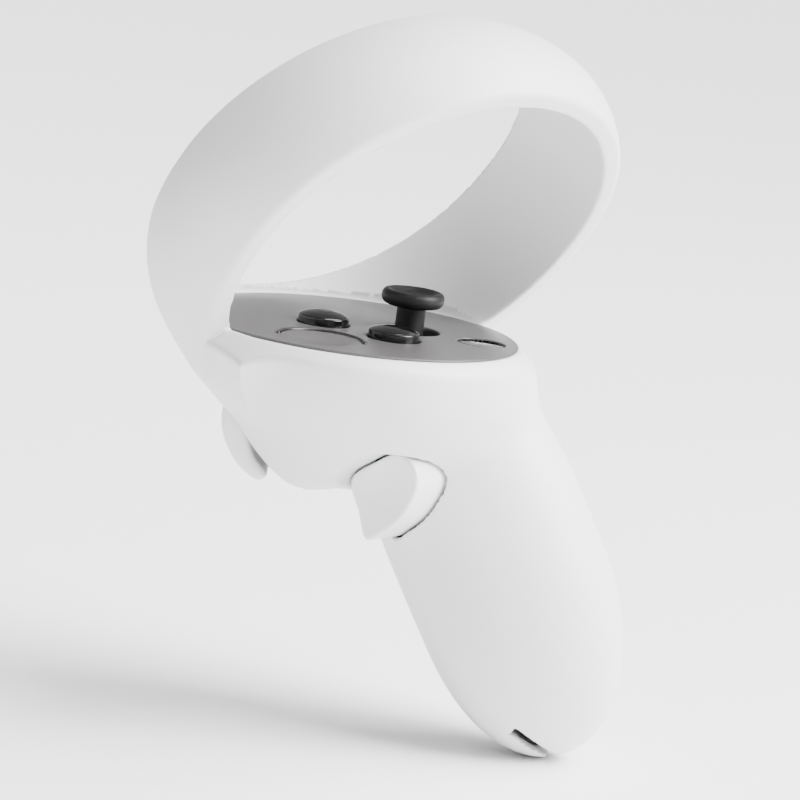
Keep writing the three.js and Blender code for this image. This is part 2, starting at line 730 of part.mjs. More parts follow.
function triggerBracket() {
  const [y, z] = TRIGGER_PIVOT;
  const cheek = (x0, x1) => solidOf(box(x0, x1, y - 3, y + 3, z - 3, -7.6));
  const bore = solidOf(alongX(rod(1.2, -12, 12), y, z));
  const bridge = solidOf(box(-10, 10, 8.6, 10.4, -13.6, -7.6));
  const arm = (x0, x1) => solidOf(box(x0, x1, 8.6, y - 2.5, -13.6, -7.6));
  const solid = join(cheek(-10, -8.4), cheek(8.4, 10), bridge, arm(-10, -8.4), arm(8.4, 10));
  return solid.subtract(bore);
}

function gripButton() {
  const cap = gripBlock(0, -GRIP_DEPTH, 0, 40).subtract(gripBlock(-2.2, -GRIP_DEPTH - 2, -2.2, 28));
  const dish = lathe([[0, -0.45], [3.6, -0.3], [6.6, 0], [7.4, 0.6], [0, 0.6]], 36);
  dish.translate(-7.4, -27.6, 0);
  const arm = box(-2.6, 3.2, -26.4, -23.4, -10, -6);
  const solid = join(cap.subtract(solidOf(inGrip(dish))), solidOf(inGrip(arm)));
  return solid.subtract(solidOf(inGrip(uprightRod(1.12, -45, -10))));
}

function uprightRod(radius, y0, y1) {
  const geometry = rod(radius, y0, y1, 24);
  geometry.applyMatrix4(new THREE.Matrix4().makeBasis(
    new THREE.Vector3(1, 0, 0), new THREE.Vector3(0, 0, -1), new THREE.Vector3(0, 1, 0)));
  geometry.translate(1.5, 0, -8);
  return geometry;
}

function cellPlace(geometry) {
  geometry.translate(CELL_X, -CELL_N, 0);
  return solidOf(inHandle(geometry));
}

function batteryCell() {
  const [a, b] = [CELL_TAU, CELL_TAU + CELL_L];
  const profile = [[0, a], [6.9, a], [CELL_R, a + 0.4], [CELL_R, b - 1.6], [6.6, b - 1.1], [2.8, b - 1.1],
    [2.75, b], [0, b]];
  return cellPlace(lathe(profile, 28));
}

function batteryTray() {
  const tube = pipe(CELL_R + GAP, CELL_R + 1.5, CELL_TAU - 4.6, 38, 40);
  const opening = box(0, 30, -30, 30, -30, 80);
  opening.translate(CELL_X, 0, 0);
  return cellPlace(tube).subtract(solidOf(inHandle(opening)));
}

function contactSpring() {
  return cellPlace(coil(4, 0.35, 3.2, 3.5).translate(0, 0, CELL_TAU - 4));
}

function contactPlus() {
  return cellPlace(roundedBox(9, 9, 2, CELL_TAU + CELL_L + GAP, CELL_TAU + CELL_L + 0.8));
}

function hapticMotor() {
  const profile = [[0, 2], [3.6, 2], [4.2, 2.6], [4.2, 13.4], [3.6, 14], [0, 14]];
  return solidOf(alongX(lathe(profile, 28), -13.5, -20.1));
}

function antenna() {
  return solidOf(box(17.4, 18, -9, 7, -13, -9));
}

function strapBar() {
  const geometry = rod(1.1, -6.6, 6.6, 20);
  geometry.rotateY(Math.PI / 2);
  geometry.translate(0, -7.2, 45.2);
  return solidOf(inHandle(geometry));
}

function torsionSpring(radius, wire, length) {
  return coil(radius, wire, length, 4);
}

function triggerSpring() {
  const geometry = torsionSpring(2.0, 0.3, 4.8);
  geometry.translate(0, 0, -2.4);
  return solidOf(alongX(geometry, ...TRIGGER_PIVOT));
}

function gripSpring() {
  const geometry = torsionSpring(1.9, 0.3, 3.6);
  geometry.applyMatrix4(new THREE.Matrix4().makeBasis(
    new THREE.Vector3(1, 0, 0), new THREE.Vector3(0, 0, -1), new THREE.Vector3(0, 1, 0)));
  geometry.translate(1.5, -22.9, -8);
  return solidOf(inGrip(geometry));
}

// ---- assembly ------------------------------------------------------------------------
const controller = new THREE.Group();
controller.name = 'vr_motion_controller';

function add(name, solid, material) {
  const mesh = new THREE.Mesh(geometryOf(solid), material);
  mesh.name = name;
  controller.add(mesh);
}

const skin = skinSolid();
const cavity = cavitySolid();
const shell = wholeShell(skin, cavity);
const shellWhite = () => paint(0xe8e8ea, 0.5);
const boardGreen = () => paint(0x1f5a3a, 0.6);
const steel = () => paint(0xb8bcc2, 0.3, 1);

add('ring_shell', shell.intersect(solidOf(box(-90, 90, -90, 90, GAP, 95))), shellWhite());
add('handle_shell', shell.intersect(solidOf(box(-90, 90, -90, 90, -95, 0))), shellWhite());
add('ring_inner_cover', ringLiner(), shellWhite());
add('battery_door', batteryDoor(skin, cavity), shellWhite());
add('face_plate', facePlate(), paint(0xb9b6b8, 0.35));
add('thumb_rest_arc', restGroove(0.4, -1.0, -0.4), paint(0x1a1a1c, 0.4));
add('button_a', buttonCap(BUTTON_A), paint(0x0b0b0c, 0.15));
add('button_b', buttonCap(BUTTON_B), paint(0x0b0b0c, 0.15));
add('home_button', homeCap(), paint(0x98969a, 0.35));
add('dome_switch_a', domeSwitch(BUTTON_A), steel());
add('dome_switch_b', domeSwitch(BUTTON_B), steel());
add('dome_switch_home', domeSwitch(HOME), steel());
add('stick_base', stickPart([[0, -12], [9.2, -12], [9.2, -4.5], [8.5, -4.5], [8.5, -11], [0, -11]]),
  paint(0x2a2a2d, 0.6));
add('stick_click_cradle', stickPart([[6.6, -9.2], [8.2, -9.2], [8.2, -4.8], [6.6, -4.8], [6.6, -9.2]]),
  paint(0x36363a, 0.6));
add('stick_gimbal', stickPart([[4.95, -8.2], [6.2, -8.2], [6.2, -5.8], [4.95, -5.8], [4.95, -8.2]]),
  paint(0x9a9ca0, 0.35, 1));
add('stick_shaft', stickShaft(), paint(0x161617, 0.7));
add('stick_cap', stickCap(), paint(0x141415, 0.75));
add('button_board', buttonBoard(), boardGreen());
add('main_board', mainBoard(), boardGreen());
SCREWS.forEach((place, i) => add(`board_screw_${i + 1}`, screw(place), paint(0x8d9096, 0.35, 1)));
add('trigger', trigger(), paint(0xe4e4e6, 0.4));
add('trigger_pin', solidOf(alongX(rod(1.15, -10.4, 10.4), ...TRIGGER_PIVOT)), steel());
add('trigger_bracket', triggerBracket(), paint(0x3a3a3e, 0.6));
add('trigger_spring', triggerSpring(), steel());
add('grip_button', gripButton(), paint(0xf0f0f2, 0.22));
add('grip_pin', solidOf(inGrip(uprightRod(1.05, -26.6, -20.4))), steel());
add('grip_spring', gripSpring(), steel());
add('battery_cell', batteryCell(), paint(0x3d6a8c, 0.35, 0.4));
add('battery_tray', batteryTray(), paint(0x4a4a4e, 0.65));
add('contact_spring', contactSpring(), steel());
add('contact_plus', contactPlus(), paint(0xc9a45a, 0.3, 1));
add('haptic_motor', hapticMotor(), paint(0x9a9ca0, 0.3, 1));
add('antenna_strip', antenna(), paint(0xb08850, 0.4, 1));
add('strap_bar', strapBar(), steel());
add('led_flex', ledFlex(), paint(0xa8702a, 0.5));
LED_ANGLES.forEach((phi, i) => add(`tracking_led_${i + 1}`, ledAt(phi), paint(0xd8dde0, 0.3)));

export default controller;
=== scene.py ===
import math

import bpy
import numpy as np
from mathutils import Matrix, Vector


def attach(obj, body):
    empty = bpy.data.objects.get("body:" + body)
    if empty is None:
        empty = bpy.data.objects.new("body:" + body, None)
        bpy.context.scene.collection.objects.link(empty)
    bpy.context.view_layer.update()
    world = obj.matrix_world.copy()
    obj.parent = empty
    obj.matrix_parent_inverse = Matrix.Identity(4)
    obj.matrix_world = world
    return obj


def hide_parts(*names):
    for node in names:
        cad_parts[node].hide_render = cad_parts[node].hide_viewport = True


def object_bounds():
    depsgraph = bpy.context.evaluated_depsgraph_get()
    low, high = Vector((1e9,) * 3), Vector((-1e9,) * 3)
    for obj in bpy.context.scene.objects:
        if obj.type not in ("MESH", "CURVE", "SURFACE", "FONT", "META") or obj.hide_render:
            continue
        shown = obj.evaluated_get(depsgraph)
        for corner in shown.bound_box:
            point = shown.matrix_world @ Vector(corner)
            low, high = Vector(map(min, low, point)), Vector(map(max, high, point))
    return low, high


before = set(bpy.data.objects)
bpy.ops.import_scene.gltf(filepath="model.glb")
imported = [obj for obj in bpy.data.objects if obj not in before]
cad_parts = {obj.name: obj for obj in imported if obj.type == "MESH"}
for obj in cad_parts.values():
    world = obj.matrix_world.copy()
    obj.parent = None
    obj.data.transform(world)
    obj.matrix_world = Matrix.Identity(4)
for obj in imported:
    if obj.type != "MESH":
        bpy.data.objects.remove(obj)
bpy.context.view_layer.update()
BODY = "controller_body"
MM = 0.001

# ---- dimensions, in millimetres: the CAD's, but for the home button's crescent -----------
PLATE_R = 31.3
PLATE_T = 1.8
PLATE_HOLE = 29.3
WALL = 2.2
RING_AXIS = np.array([0.590, 0.515, 0.622])
RING_AXIS = RING_AXIS / np.linalg.norm(RING_AXIS)
RING_S0, RING_S1 = -1.0, 26.2
RING_CA, RING_CB = 24.05, 18.2
RING_RA, RING_RB = 37.35, 36.75
RING_U0 = 0.25
RING_WALL_A, RING_WALL_B = 3.45, 2.2
BULGE_OUT, BULGE_IN = 4.6, 1.2
RING_SQUARE = 2.25
RING_E1 = np.array([RING_AXIS[1], -RING_AXIS[0], 0.0])
RING_E1 = RING_E1 / np.linalg.norm(RING_E1)
RING_E2 = np.cross(RING_E1, RING_AXIS)
HANDLE_TOP = np.array([0.0, -24.6, -26.5])
HANDLE_DIR = np.array([0.0, -0.496, -0.868])
HANDLE_DIR = HANDLE_DIR / np.linalg.norm(HANDLE_DIR)
HANDLE_HALF_T, HANDLE_HALF_W, HANDLE_END = 19.5, 15.8, 37.2
HANDLE_FULL, HANDLE_SQUARE = 20.0, 2.15
DEPTHS = [-2, 2.4, 6, 10.8, 14.2, 19.1, 25, 29.4, 31.3, 32.6, 33.2]
HEAD_FRONT = [34.8, 33.7, 32.4, 30, 27, 22.1, 17.6, 13.8, 11.4, 8.3, 5.4]
HEAD_REAR = [-33.7, -33.7, -33.4, -32.4, -30.4, -26.8, -19, -11, -6.5, -1, 3]
HEAD_HALF = [34.5, 33.7, 32.6, 30.3, 28, 23.8, 18, 12.5, 9, 5, 2]
HEAD_FLOOR, FLOOR_RISE = 32.9, 0.32
BUTTON_R = 4.8
BUTTON_A, BUTTON_B, HOME = (-9.3, -7.4), (-2.0, 6.0), (-1.5, -23.9)
HOME_R = 4.3
LUNE_OUTER, LUNE_INNER, LUNE_OFFSET, LUNE_DEPTH = 4.15, 8.4, 7.9, 0.6
STICK = (2.8, -10.2)
REST = (-19.6, 5.8)
REST_R = 8.0
TRIGGER_HALF_W = 8.0
STRAP_TAU, STRAP_N, STRAP_TILT, STRAP_WIDE = 54.0, 5.8, math.radians(26.6), 1.5
DOOR_TAU, DOOR_HALF_L, DOOR_HALF_W, DOOR_CORNER = 25, 21, 10.5, 5.0
GRIP_N = np.array([-0.8, 0.6, 0.0])
GRIP_A = np.array([0.6, 0.8, 0.0])
GRIP_CORNER = np.array([-13.0, -3.0, -0.4])
GRIP_OUTLINE = [(0.4, -26.6), (-2.2, -32.4), (-4.9, -37.0), (-8.9, -34.6), (-12.7, -30.4),
                (-15.0, -23.8), (-13.4, -20.4), (-9.5, -19.5), (-4.1, -22.4)]
TRIGGER_OUTLINE = [(21.2, -11.2), (22.6, -17.5), (22.4, -21.3), (20.9, -24.9), (18.2, -28.4),
                   (14.2, -30.6), (12.8, -29.4), (15.8, -25.5), (17.0, -20.5), (16.0, -15),
                   (15.3, -10.4), (18.2, -7.9)]


# ---- small maths --------------------------------------------------------------------------
def smin(a, b, k):
    h = np.clip(0.5 + 0.5 * (b - a) / k, 0, 1)
    return b * (1 - h) + a * h - k * h * (1 - h)


def smax(a, b, k):
    return -smin(-a, -b, k)


def table(xs, ys):
    """A dense monotone-cubic lookup through the given points."""
    xs, ys = np.array(xs, float), np.array(ys, float)
    d = np.diff(ys) / np.diff(xs)
    m = np.empty_like(xs)
    m[0], m[-1] = d[0], d[-1]
    same = d[:-1] * d[1:] > 0
    m[1:-1] = np.where(same, 2 * d[:-1] * d[1:] / np.where(same, d[:-1] + d[1:], 1), 0)
    q = np.linspace(xs[0], xs[-1], 1500)
    i = np.clip(np.searchsorted(xs, q, "right") - 1, 0, len(xs) - 2)
    h = xs[i + 1] - xs[i]
    t = (q - xs[i]) / h
    a = ys[i] * (1 + 2 * t) * (1 - t) ** 2 + ys[i + 1] * t * t * (3 - 2 * t)
    a += h * (m[i] * t * (1 - t) ** 2 + m[i + 1] * t * t * (t - 1))
    return lambda x: np.interp(x, q, a)


head_front = table(DEPTHS, HEAD_FRONT)
head_rear = table(DEPTHS, HEAD_REAR)
head_half = table(DEPTHS, HEAD_HALF)


def closed_curve(points, samples):
    """Centripetal Catmull-Rom loop through the points, evenly sampled per span."""
    p = np.array(points, float)
    n = len(p)
    out = []
    per = samples // n + 1
    for i in range(n):
        p0, p1, p2, p3 = p[i - 1], p[i], p[(i + 1) % n], p[(i + 2) % n]
        d = [max(np.linalg.norm(b - a) ** 0.5, 1e-6) for a, b in ((p0, p1), (p1, p2), (p2, p3))]
        m1 = d[1] * ((p1 - p0) / d[0] - (p2 - p0) / (d[0] + d[1]) + (p2 - p1) / d[1])
        m2 = d[1] * ((p2 - p1) / d[1] - (p3 - p1) / (d[1] + d[2]) + (p3 - p2) / d[2])
        for t in np.arange(per) / per:
            a = (2 * t**3 - 3 * t**2 + 1) * p1 + (t**3 - 2 * t**2 + t) * m1
            out.append(a + (-2 * t**3 + 3 * t**2) * p2 + (t**3 - t**2) * m2)
    return np.array(out)


def outline_distance(loop, x, y):
    """Signed distance to a closed loop in the plane, negative inside."""
    best = np.full(x.shape, 1e9)
    inside = np.zeros(x.shape, bool)
    for a, b in zip(loop, np.roll(loop, -1, 0)):
        e = b - a
        t = np.clip(((x - a[0]) * e[0] + (y - a[1]) * e[1]) / (e @ e), 0, 1)
        best = np.minimum(best, (x - a[0] - t * e[0]) ** 2 + (y - a[1] - t * e[1]) ** 2)
        crosses = (a[1] > y) != (b[1] > y)
        where = a[0] + (y - a[1]) * e[0] / (e[1] if abs(e[1]) > 1e-12 else 1e-12)
        inside ^= crosses & (x < where)
    d = np.sqrt(best)
    return np.where(inside, -d, d)


# ---- fields, negative inside ----------------------------------------------------------------
def head_field(x, y, z, inset, top):
    front, rear = head_front(-z), head_rear(-z)
    ay = np.maximum((front - rear) / 2 - inset, 0.6)
    ax = np.maximum(head_half(-z) - inset, 0.6)
    gx, gy = x / ax, (y - (front + rear) / 2) / ay
    rho = np.hypot(gx, gy) + 1e-9
    g = np.hypot(gx / ax, gy / ay) / rho
    side = (rho - 1) / np.maximum(g, 1e-3) * 0.9
    floor = FLOOR_RISE * np.clip(9.5 - y, 0, 10) - HEAD_FLOOR + inset
    return np.maximum(smax(side, floor - z, 3.0), z - top)


def handle_frame(y, z):
    dy, dz = y - HANDLE_TOP[1], z - HANDLE_TOP[2]
    return dy * HANDLE_DIR[1] + dz * HANDLE_DIR[2], -dy * HANDLE_DIR[2] + dz * HANDLE_DIR[1]


def handle_field(x, y, z, inset):
    tau, n = handle_frame(y, z)
    length = HANDLE_END - inset
    q = np.clip((tau - HANDLE_FULL) / length, 0, 1)
    f = np.sqrt(np.clip(1 - q**2.4, 0, 1))
    waist = 1 - 0.07 * np.exp(-(((tau + 8) / 9) ** 2))
    belly = 1 + 0.04 * np.exp(-(((tau - 22) / 16) ** 2))
    shift = 1.8 * np.clip((tau - 25) / 30, 0, 1)
    an = np.maximum((HANDLE_HALF_T * waist - inset) * f, 0.5)
    ax = np.maximum((HANDLE_HALF_W - inset) * f * belly, 0.5)
    e = HANDLE_SQUARE
    rho = (np.abs(x / ax) ** e + np.abs((n - shift) / an) ** e) ** (1 / e) + 1e-9
    side = np.hypot(x, n - shift) * (1 - 1 / rho) * 0.95
    return np.maximum(np.maximum(side, tau - (HANDLE_FULL + length)), -(tau + 18))


def body_field(x, y, z, inset, top):
    return smin(head_field(x, y, z, inset, top), handle_field(x, y, z, inset), 6.0)


def ring_terms(x, y, z):
    """Place along the ring's axis, and signed distance outside its inner and outer walls."""
    s = x * RING_AXIS[0] + y * RING_AXIS[1] + z * RING_AXIS[2]
    u = x * RING_E1[0] + y * RING_E1[1] - RING_U0
    t = np.clip((s - RING_S0) / (RING_S1 - RING_S0), -0.3, 1.3)
    v = x * RING_E2[0] + y * RING_E2[1] + z * RING_E2[2] - (RING_CA + (RING_CB - RING_CA) * t)
    low = (np.abs(u) ** RING_SQUARE + np.abs(v) ** RING_SQUARE) ** (1 / RING_SQUARE)
    rho = np.where(v >= 0, np.hypot(u, v), low)
    q = np.clip(t, 0, 1)
    base = RING_RA + (RING_RB - RING_RA) * q
    inner = base + 4 * q * (1 - q) * BULGE_IN
    wall = RING_WALL_A + (RING_WALL_B - RING_WALL_A) * q
    outer = base + wall + 4 * q * (1 - q) * BULGE_OUT
    return s, rho - inner, rho - outer


def grip_frame(x, y, z):
    dx, dy, dz = x - GRIP_CORNER[0], y - GRIP_CORNER[1], z - GRIP_CORNER[2]
    return dx * GRIP_A[0] + dy * GRIP_A[1], dz, dx * GRIP_N[0] + dy * GRIP_N[1]


grip_loop = closed_curve(GRIP_OUTLINE, 90)
trigger_loop = closed_curve(TRIGGER_OUTLINE, 108)


def grip_prism(x, y, z, swell, z0, z1):
    """The grip button's outline, swelled, between two depths; far away it is only positive."""
    a, b, c = grip_frame(x, y, z)
    out = np.full(x.shape, 12.0)
    near = (np.abs(a + 7) < 16) & (np.abs(b + 28) < 18)
    out[near] = outline_distance(grip_loop, a[near], b[near])
    return np.maximum(np.maximum(out - swell, c - z1), z0 - c)


def door_prism(x, y, z, gap):
    tau, n = handle_frame(y, z)
    r = DOOR_CORNER
    qx = np.abs(tau - DOOR_TAU) - (DOOR_HALF_L - gap - r)
    qy = np.abs(n) - (DOOR_HALF_W - gap - r)
    flat = np.hypot(np.maximum(qx, 0), np.maximum(qy, 0)) + np.minimum(np.maximum(qx, qy), 0) - r
    return np.maximum(flat, 4 - x)


def strap_slot(x, y, z):
    tau, n = handle_frame(y, z)
    c, s = math.cos(STRAP_TILT), math.sin(STRAP_TILT)
    across = (n - STRAP_N) * c + (tau - STRAP_TAU) * s
    along = (tau - STRAP_TAU) * c - (n - STRAP_N) * s
    slit = np.maximum(np.abs(across) - STRAP_WIDE / 2, np.abs(x + 5.5) - 10)
    return np.maximum(slit, np.abs(along) - 8)


def trigger_slot(x, y, z):
    line = ((y - 6) * -7.6 + (z + 22) * 5) / 9.097
    return np.maximum(np.maximum(np.maximum(6 - y, z + 14.4), line), np.abs(x) - 8.7)


def cavity_field(x, y, z):
    c = np.maximum(body_field(x, y, z, WALL, 0.0), z + 4.5)
    return np.maximum(c, -grip_prism(x, y, z, 2.9, -2.2, 16.0))


def skin_field(x, y, z):
    """Ring, head and handle as one hollow shell, with the rims, the plate's hole and the slots cut."""
    s, inner, outer = ring_terms(x, y, z)
    barrel = np.maximum(np.maximum(outer, s - RING_S1 - 9), np.maximum(RING_S0 - 10 - s, -(z + 14)))
    f = smin(body_field(x, y, z, 0.0, 5.0), barrel, 5.0)
    r = np.hypot(x, y)
    cone = (r + z - PLATE_R) * 0.7071
    f = smax(f, smin(RING_S0 - s, np.maximum(cone, z + 0.3), 0.5), 1.0)
    f = smax(f, s - RING_S1, 1.0)
    room = smin(-np.minimum(inner, np.maximum(r - PLATE_R, z - 7)), z + 0.3, 2.0)
    f = smax(f, room, 0.7)
    f = np.maximum(f, np.minimum(np.minimum(PLATE_HOLE - r, z + 8), 3 - z))
    f = np.maximum(f, -cavity_field(x, y, z))
    f = smax(f, -trigger_slot(x, y, z), 0.8)
    f = smax(f, -grip_prism(x, y, z, 0.45, -18.0, 8.0), 0.5)
    f = smax(f, -strap_slot(x, y, z), 0.4)
    return f


def shell_field(x, y, z):
    return smax(skin_field(x, y, z), -door_prism(x, y, z, 0.0), 0.35)


def door_field(x, y, z):
    return smax(skin_field(x, y, z), door_prism(x, y, z, 0.22), 0.35)


def trigger_field(x, y, z):
    d = np.full(x.shape, 9.0)
    near = (np.abs(y - 17.5) < 12) & (np.abs(z + 19.5) < 18)
    d[near] = outline_distance(trigger_loop, y[near], z[near])
    return smax(d, np.abs(x) - TRIGGER_HALF_W, 1.6)


def grip_field(x, y, z):
    a, b, c = grip_frame(x, y, z)
    d = grip_prism(x, y, z, 0.0, -30.0, 30.0)
    dish = 0.75 * np.exp(-(((a + 7.2) / 5.6) ** 2 + ((b + 27.4) / 6.4) ** 2))
    f = smax(np.maximum(d, -10.4 - c), c + dish, 0.9)
    hollow = np.maximum(grip_prism(x, y, z, -2.0, -40.0, -2.4), -30 - c)
    f = np.maximum(f, -hollow)
    arm = np.maximum(np.maximum(np.abs(a - 0.3) - 2.9, np.abs(b + 24.9) - 1.5), np.abs(c + 8) - 2)
    f = np.minimum(f, arm)
    return np.maximum(f, 1.12 - np.hypot(a - 1.5, c + 8))


def plate_field(x, y, z):
    r = np.hypot(x, y)
    f = smax(r - (PLATE_R - 0.18), np.abs(z + PLATE_T / 2) - PLATE_T / 2, 0.35)
    for cx, cy, hole in ((*BUTTON_A, 5.05), (*BUTTON_B, 5.05), (*HOME, 4.62), (*STICK, 5.9)):
        f = smax(f, hole - np.hypot(x - cx, y - cy), 0.4)
    q = np.hypot(x - REST[0] - 0.4, y - REST[1])
    dish = z + 0.95 * np.clip(1 - (q / 7.3) ** 2, 0, 1) ** 1.5
    f = np.maximum(f, dish)
    rest = np.hypot(x - REST[0], y - REST[1])
    turn = np.abs(np.arctan2(y - REST[1], x - REST[0]))
    ends = np.minimum(np.hypot(x - REST[0], y - REST[1] - REST_R),
                      np.hypot(x - REST[0], y - REST[1] + REST_R))
    groove = np.where(turn < math.pi / 2, np.abs(rest - REST_R), ends) - 0.45
    return smax(f, -np.maximum(groove, -z - 1.1), 0.2)


def home_lune(x, y):
    """The crescent recess on the home button's far side, negative inside."""
    r = np.hypot(x - HOME[0], y - HOME[1])
    return np.maximum(r - LUNE_OUTER, LUNE_INNER - np.hypot(x - HOME[0] + LUNE_OFFSET, y - HOME[1]))


def home_field(x, y, z):
    r = np.hypot(x - HOME[0], y - HOME[1])
    cap = smax(smax(r - HOME_R, z + 0.05, 0.25), -2.9 - z, 0.1)
    flange = np.maximum(r - HOME_R - 0.4, np.abs(z + 2.7) - 0.3)
    stem = np.maximum(r - 1.2, np.abs(z + 3.7) - 0.9)
    f = np.minimum(np.minimum(cap, flange), stem)
    return smax(f, -np.maximum(home_lune(x, y), -LUNE_DEPTH - z), 0.15)


# ---- meshes -----------------------------------------------------------------------------------
def nets(field, low, high, h, rounds=4):
    """Vertices, quads and normals of a field's zero surface, its points settled on it."""
    axes = [np.arange(a, b + h, h) for a, b in zip(low, high)]
    grid = np.meshgrid(*axes, indexing="ij")
    shape = grid[0].shape
    value = np.empty(shape)
    for i in range(0, shape[0], 16):
        value[i:i + 16] = field(*(g[i:i + 16] for g in grid))
    inside = value < 0
    nx, ny, nz = shape
    count = np.zeros((nx - 1, ny - 1, nz - 1), np.int8)
    corners = [(i, j, k) for i in (0, 1) for j in (0, 1) for k in (0, 1)]
    for i, j, k in corners:
        count += inside[i:nx - 1 + i, j:ny - 1 + j, k:nz - 1 + k]
    active = (count > 0) & (count < 8)
    ids = np.argwhere(active)
    index = np.full(active.shape, -1)
    index[active] = np.arange(len(ids))
    total, hits = np.zeros((len(ids), 3)), np.zeros(len(ids))
    for a in corners:
        for b in corners:
            step = np.subtract(b, a)
            if step.sum() != 1 or step.min() < 0:
                continue
            fa = value[tuple((ids + a).T)]
            fb = value[tuple((ids + b).T)]
            cross = (fa < 0) != (fb < 0)
            t = np.where(cross, fa / np.where(cross, fa - fb, 1), 0)
            total += (np.array(a) + step * t[:, None]) * cross[:, None]
            hits += cross
    origin = np.array([a[0] for a in axes])
    points = origin + h * (ids + total / hits[:, None])
    quads = []
    for axis in range(3):
        inner = [slice(1, -1)] * 3
        a, b = list(inner), list(inner)
        a[axis], b[axis] = slice(0, -1), slice(1, None)
        fa = inside[tuple(a)]
        at = np.argwhere(fa != inside[tuple(b)])
        base = at + np.array([int(m != axis) for m in range(3)])
        b1, b2 = [(1, 2), (2, 0), (0, 1)][axis]
        ring = []
        for d1, d2 in ((1, 1), (0, 1), (0, 0), (1, 0)):
            c = base.copy()
            c[:, b1] -= d1
            c[:, b2] -= d2
            ring.append(index[tuple(c.T)])
        quad = np.stack(ring, 1)
        out = ~fa[tuple(at.T)]
        quad[out] = quad[out][:, ::-1]
        quads.append(quad)
    start = points.copy()
    for _ in range(rounds):
        f, g = slope(field, points)
        move = 0.85 * f[:, None] * g / np.maximum((g * g).sum(1), 0.2)[:, None]
        points = np.clip(points - move, start - 0.5 * h, start + 0.5 * h)
    g = slope(field, points)[1]
    return points, np.concatenate(quads), g / (np.linalg.norm(g, axis=1)[:, None] + 1e-9)


def slope(field, p):
    e = 0.03
    x, y, z = p.T.copy()
    f = field(x, y, z)
    g = [field(*(c + e * (m == k) for m, c in enumerate((x, y, z)))) for k in range(3)]
    back = [field(*(c - e * (m == k) for m, c in enumerate((x, y, z)))) for k in range(3)]
    return f, np.stack([(a - b) / (2 * e) for a, b in zip(g, back)], 1)


def make_object(name, mesh, material, body, slot, *nodes):
    obj = bpy.data.objects.new(name, mesh)
    bpy.context.scene.collection.objects.link(obj)
    mesh.materials.append(material)
    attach(obj, body)
    if nodes:
        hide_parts(*nodes)
    return obj


def field_object(name, field, low, high, h, material, body, slot, *nodes):
    points, quads, normals = nets(field, low, high, h)
    mesh = bpy.data.meshes.new(name)
    mesh.from_pydata((points * MM).tolist(), [], quads.tolist())
    mesh.validate()
    mesh.shade_smooth()
    if len(mesh.vertices) == len(normals):
        mesh.normals_split_custom_set_from_vertices(normals.tolist())
    return make_object(name, mesh, material, body, slot, *nodes)


def rounded(profile, radius, steps=5):
    """The profile with each inner corner replaced by a short arc."""
    out = [profile[0]]
    for i in range(1, len(profile) - 1):
        p = np.array(profile[i], float)
        a, b = np.array(profile[i - 1], float) - p, np.array(profile[i + 1], float) - p
        r = min(radius, np.linalg.norm(a) * 0.45, np.linalg.norm(b) * 0.45)
        a, b = a / np.linalg.norm(a) * r, b / np.linalg.norm(b) * r
        for t in np.linspace(0, 1, steps):
            out.append(tuple(p + a * (1 - t) ** 2 + b * t * t))
    return out + [profile[-1]]


def lathe(name, profile, centre, material, body, slot, *nodes, segments=96):
    """A turned solid whose profile starts and ends on the axis."""
    ring = profile[1:-1]
    verts = [(centre[0], centre[1], profile[0][1]), (centre[0], centre[1], profile[-1][1])]
    for r, z in ring:
        for i in range(segments):
            a = i / segments * math.tau
            verts.append((centre[0] + r * math.cos(a), centre[1] + r * math.sin(a), z))
    faces = []
    for i in range(segments):
        k = (i + 1) % segments
        faces.append((0, 2 + k, 2 + i))
        last = 2 + (len(ring) - 1) * segments
        faces.append((1, last + i, last + k))
        for j in range(len(ring) - 1):
            a, b = 2 + j * segments, 2 + (j + 1) * segments
            faces.append((a + i, a + k, b + k, b + i))
    mesh = bpy.data.meshes.new(name)
    mesh.from_pydata([(x * MM, y * MM, z * MM) for x, y, z in verts], [], faces)
    mesh.shade_smooth()
    mesh.set_sharp_from_angle(angle=math.radians(38))
    return make_object(name, mesh, material, body, slot, *nodes)


def tube(name, path, radius, material, body, slot, *nodes, sides=12):
    """A round bar along a path, with domed ends."""
    p = np.array(path, float)
    d = np.gradient(p, axis=0)
    d /= np.linalg.norm(d, axis=1)[:, None]
    up = np.array([0.0, 0.0, 1.0])
    rings, verts = [], []
    first, last = p[0] - d[0] * radius * 0.95, p[-1] + d[-1] * radius * 0.95
    cap = [(0.95, 0.3), (0.6, 0.8)]
    stations = [(p[0] - d[0] * radius * a, d[0], radius * b) for a, b in cap]
    stations += [(q, e, radius) for q, e in zip(p, d)]
    stations += [(p[-1] + d[-1] * radius * a, d[-1], radius * b) for a, b in reversed(cap)]
    for q, e, r in stations:
        side = np.cross(e, up)
        side /= np.linalg.norm(side)
        top = np.cross(side, e)
        rings.append(len(verts))
        for i in range(sides):
            a = i / sides * math.tau
            verts.append(q + r * (math.cos(a) * side + math.sin(a) * top))
    faces = []
    for a, b in zip(rings, rings[1:]):
        for i in range(sides):
            k = (i + 1) % sides
            faces.append((a + i, a + k, b + k, b + i))
    verts += [first, last]
    for i in range(sides):
        k = (i + 1) % sides
        faces.append((len(verts) - 2, rings[0] + k, rings[0] + i))
        faces.append((len(verts) - 1, rings[-1] + i, rings[-1] + k))
    mesh = bpy.data.meshes.new(name)
    mesh.from_pydata([tuple(v * MM) for v in verts], [], faces)
    mesh.shade_smooth()
    return make_object(name, mesh, material, body, slot, *nodes)


